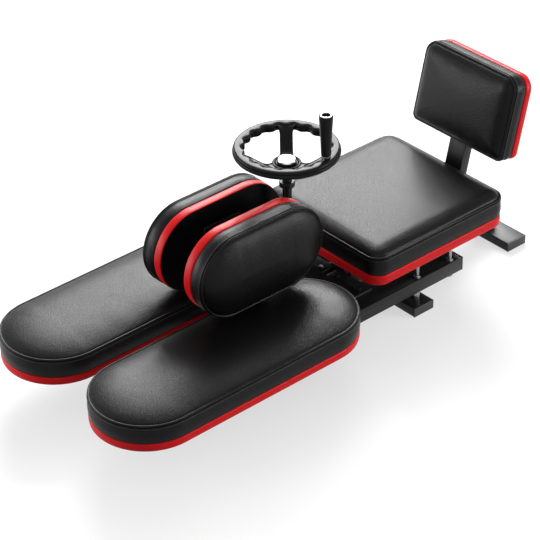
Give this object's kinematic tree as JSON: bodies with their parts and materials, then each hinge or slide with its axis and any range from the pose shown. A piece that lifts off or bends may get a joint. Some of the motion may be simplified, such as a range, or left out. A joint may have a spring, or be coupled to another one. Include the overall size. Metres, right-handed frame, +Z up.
{
  "type": "leg stretching machine",
  "caption": "Low padded seat with leaning backrest and two padded leg boards that swing apart, driven by a crank handwheel through a screw and double rack.",
  "frame": {"origin": "centre of the bounding box at floor level", "axes": "+Z up, +Y from the foot end towards the backrest, +X to the side of the left leg board"},
  "size_m": [0.4836, 1.1258, 0.4987],
  "materials": {
    "leather_black": "glossy grained synthetic leather",
    "leather_red": "satin synthetic leather",
    "paint_black": "satin powder coat",
    "plastic_black": "moulded, semi-gloss",
    "plastic_cap": "moulded end cap",
    "steel": "bright zinc",
    "gear_steel": "machined",
    "bronze": "machined bronze",
    "chrome": "polished"
  },
  "bodies": {
    "base": {"rail_left": "paint_black", "rail_cap_left": "plastic_cap", "rail_right": "paint_black", "rail_cap_right": "plastic_cap", "front_plate": "paint_black", "spine": "paint_black", "spine_cap": "plastic_cap", "foot_front": "paint_black", "foot_cap_front_left": "plastic_cap", "foot_cap_front_right": "plastic_cap", "foot_middle": "paint_black", "foot_cap_middle_left": "plastic_cap", "foot_cap_middle_right": "plastic_cap", "foot_rear": "paint_black", "foot_cap_rear_left": "plastic_cap", "foot_cap_rear_right": "plastic_cap", "seat_stud_front_left": "steel", "seat_stud_rear_left": "steel", "foot_bolt_front_left": "steel", "seat_stud_front_right": "steel", "seat_stud_rear_right": "steel", "foot_bolt_front_right": "steel", "spine_spacer_middle": "paint_black", "spine_spacer_rear": "paint_black", "deck_plate": "paint_black", "gear_plate": "paint_black", "gear_housing": "paint_black", "screw_bearing": "paint_black", "seat_base": "leather_red", "seat_cushion": "leather_black", "back_base": "leather_red", "back_cushion": "leather_black", "back_post": "paint_black", "back_socket": "paint_black", "pivot_pin_left": "steel", "pivot_pin_right": "steel"},
    "handwheel": {"wheel_shaft": "paint_black", "shaft_gear": "gear_steel", "shaft_collar": "paint_black", "handwheel": "plastic_black", "hub_cap": "chrome", "crank_spindle": "steel"},
    "crank": {"crank_handle": "plastic_black", "crank_ring": "chrome"},
    "screw": {"lead_screw": "steel", "screw_gear": "gear_steel"},
    "carriage": {"carriage": "gear_steel", "screw_nut": "bronze"},
    "leg_left": {"leg_frame_left": "paint_black", "leg_base_left": "leather_red", "leg_cushion_left": "leather_black", "upright_bracket_left": "paint_black", "upright_base_left": "leather_red", "upright_cushion_left": "leather_black"},
    "leg_right": {"leg_frame_right": "paint_black", "leg_base_right": "leather_red", "leg_cushion_right": "leather_black", "upright_bracket_right": "paint_black", "upright_base_right": "leather_red", "upright_cushion_right": "leather_black"}
  },
  "joints": [
    {"name": "handwheel_turn", "type": "hinge", "parent": "base", "child": "handwheel", "pos_m": [0, 0.001, 0.35], "axis": [0, 0, -1], "range_deg": [0, 3392.92]},
    {"name": "crank_spin", "type": "hinge", "parent": "handwheel", "child": "crank", "pos_m": [0.07905, 0.02822, 0.45], "axis": [0, 0, 1], "continuous": true},
    {"name": "screw_turn", "type": "hinge", "parent": "base", "child": "screw", "pos_m": [0, 0.001, 0.066], "axis": [0, 1, 0], "range_deg": [0, 3393.92]},
    {"name": "carriage_slide", "type": "slide", "parent": "base", "child": "carriage", "axis": [0, -1, 0], "range_m": [0, 0.0943]},
    {"name": "leg_left_swing", "type": "hinge", "parent": "base", "child": "leg_left", "pos_m": [0.118, -0.0584, 0.08], "axis": [0, 0, 1], "range_deg": [0, 90.01]},
    {"name": "leg_right_swing", "type": "hinge", "parent": "base", "child": "leg_right", "pos_m": [-0.118, -0.0584, 0.08], "axis": [0, 0, -1], "range_deg": [0, 90.01]}
  ],
  "couplings": [
    {"joint": "screw_turn", "follows": "handwheel_turn", "ratio": 1},
    {"joint": "carriage_slide", "follows": "handwheel_turn", "m_per_rad": 0.0015915},
    {"joint": "leg_left_swing", "follows": "handwheel_turn", "ratio": 0.026526},
    {"joint": "leg_right_swing", "follows": "handwheel_turn", "ratio": 0.026526}
  ]
}
